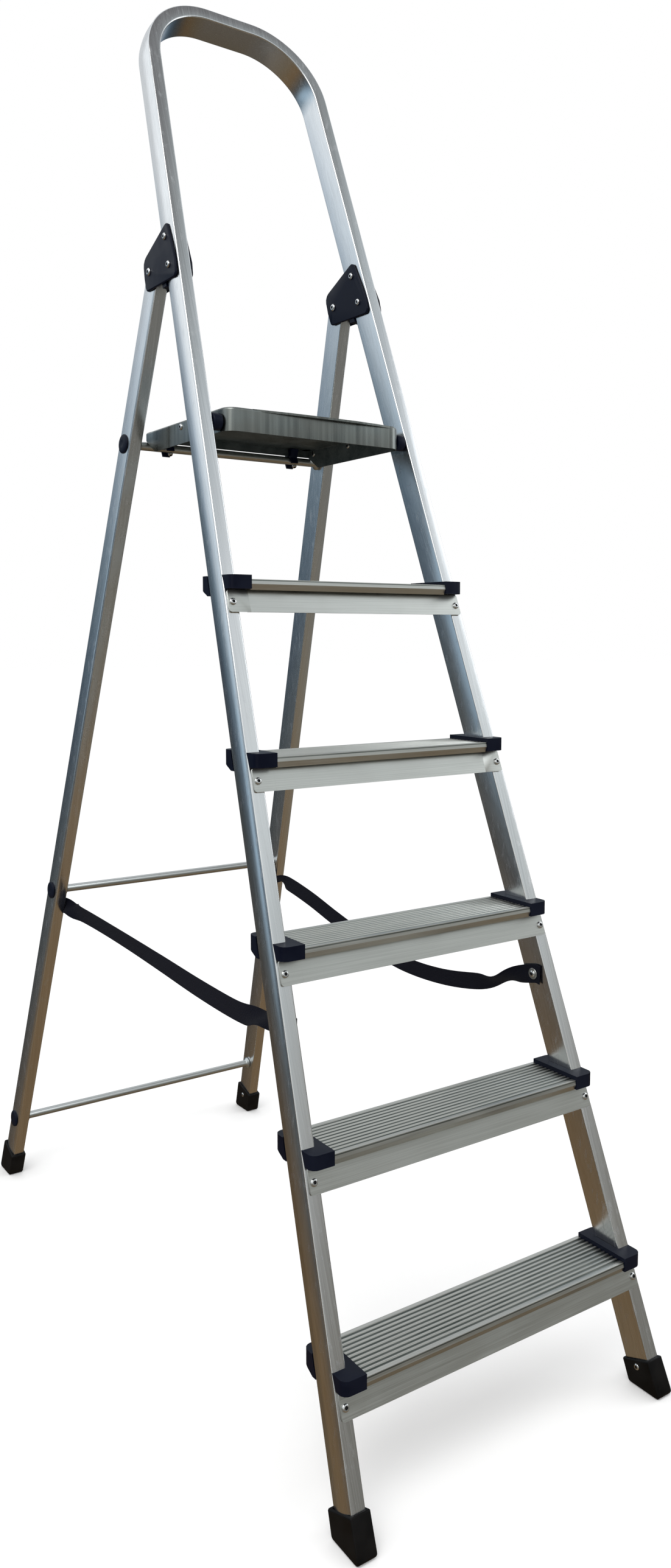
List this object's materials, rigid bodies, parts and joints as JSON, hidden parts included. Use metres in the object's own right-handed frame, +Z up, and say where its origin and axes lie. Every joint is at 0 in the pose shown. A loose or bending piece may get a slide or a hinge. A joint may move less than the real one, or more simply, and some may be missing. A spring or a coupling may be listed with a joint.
{
  "type": "step ladder",
  "caption": "Folding aluminium step ladder with flat treads, a small hinged platform and a bent-tube hand rail.",
  "frame": {"origin": "on the floor, in the middle of the four feet's outline", "axes": "+Z up; -Y towards the person who climbs the steps; +X to that person's right"},
  "size_m": [0.4976, 1.0884, 1.8243],
  "materials": {
    "aluminium": "satin extruded",
    "platform_sheet": "satin sheet",
    "zinc_rod": "bright zinc",
    "rivet_steel": "bright plated",
    "black_plastic": "soft sheen, near black with a blue tint",
    "webbing": "woven webbing"
  },
  "bodies": {
    "front_assembly": {"front_frame": "aluminium", "step_1": "aluminium", "step_cap_1_left": "black_plastic", "step_rivet_1_left": "rivet_steel", "step_cap_1_right": "black_plastic", "step_rivet_1_right": "rivet_steel", "step_2": "aluminium", "step_cap_2_left": "black_plastic", "step_rivet_2_left": "rivet_steel", "step_cap_2_right": "black_plastic", "step_rivet_2_right": "rivet_steel", "step_3": "aluminium", "step_cap_3_left": "black_plastic", "step_rivet_3_left": "rivet_steel", "step_cap_3_right": "black_plastic", "step_rivet_3_right": "rivet_steel", "step_4": "aluminium", "step_cap_4_left": "black_plastic", "step_rivet_4_left": "rivet_steel", "step_cap_4_right": "black_plastic", "step_rivet_4_right": "rivet_steel", "step_5": "aluminium", "step_cap_5_left": "black_plastic", "step_rivet_5_left": "rivet_steel", "step_cap_5_right": "black_plastic", "step_rivet_5_right": "rivet_steel", "front_foot_left": "black_plastic", "hinge_plate_outer_left": "black_plastic", "hinge_plate_inner_left": "black_plastic", "hinge_rivet_upper_left": "rivet_steel", "hinge_rivet_lower_left": "rivet_steel", "hinge_pin_left": "rivet_steel", "platform_bush_left": "black_plastic", "platform_pin_left": "rivet_steel", "strap_left": "webbing", "front_foot_right": "black_plastic", "hinge_plate_outer_right": "black_plastic", "hinge_plate_inner_right": "black_plastic", "hinge_rivet_upper_right": "rivet_steel", "hinge_rivet_lower_right": "rivet_steel", "hinge_pin_right": "rivet_steel", "platform_bush_right": "black_plastic", "platform_pin_right": "rivet_steel", "strap_right": "webbing"},
    "rear_assembly": {"rear_leg_left": "aluminium", "rear_foot_left": "black_plastic", "rear_leg_right": "aluminium", "rear_foot_right": "black_plastic", "crossbar_top": "zinc_rod", "crossbar_cap_top_left": "black_plastic", "crossbar_cap_top_right": "black_plastic", "crossbar_middle": "zinc_rod", "crossbar_cap_middle_left": "black_plastic", "crossbar_cap_middle_right": "black_plastic", "crossbar_bottom": "zinc_rod", "crossbar_cap_bottom_left": "black_plastic", "crossbar_cap_bottom_right": "black_plastic"},
    "platform_assembly": {"platform": "platform_sheet", "platform_hook_left": "black_plastic", "platform_hook_right": "black_plastic"}
  },
  "joints": [
    {"name": "leg_fold", "type": "hinge", "parent": "front_assembly", "child": "rear_assembly", "pos_m": [0, 0.05638, 1.424], "axis": [-1, 0, 0], "range_deg": [0, 36.5], "deforming": ["strap_left", "strap_right"]},
    {"name": "platform_fold", "type": "hinge", "parent": "front_assembly", "child": "platform_assembly", "pos_m": [0, -0.0945, 1.2055], "axis": [1, 0, 0], "range_deg": [0, 67.16]}
  ],
  "couplings": [
    {"joint": "platform_fold", "follows": "leg_fold", "ratio": 1.84}
  ]
}
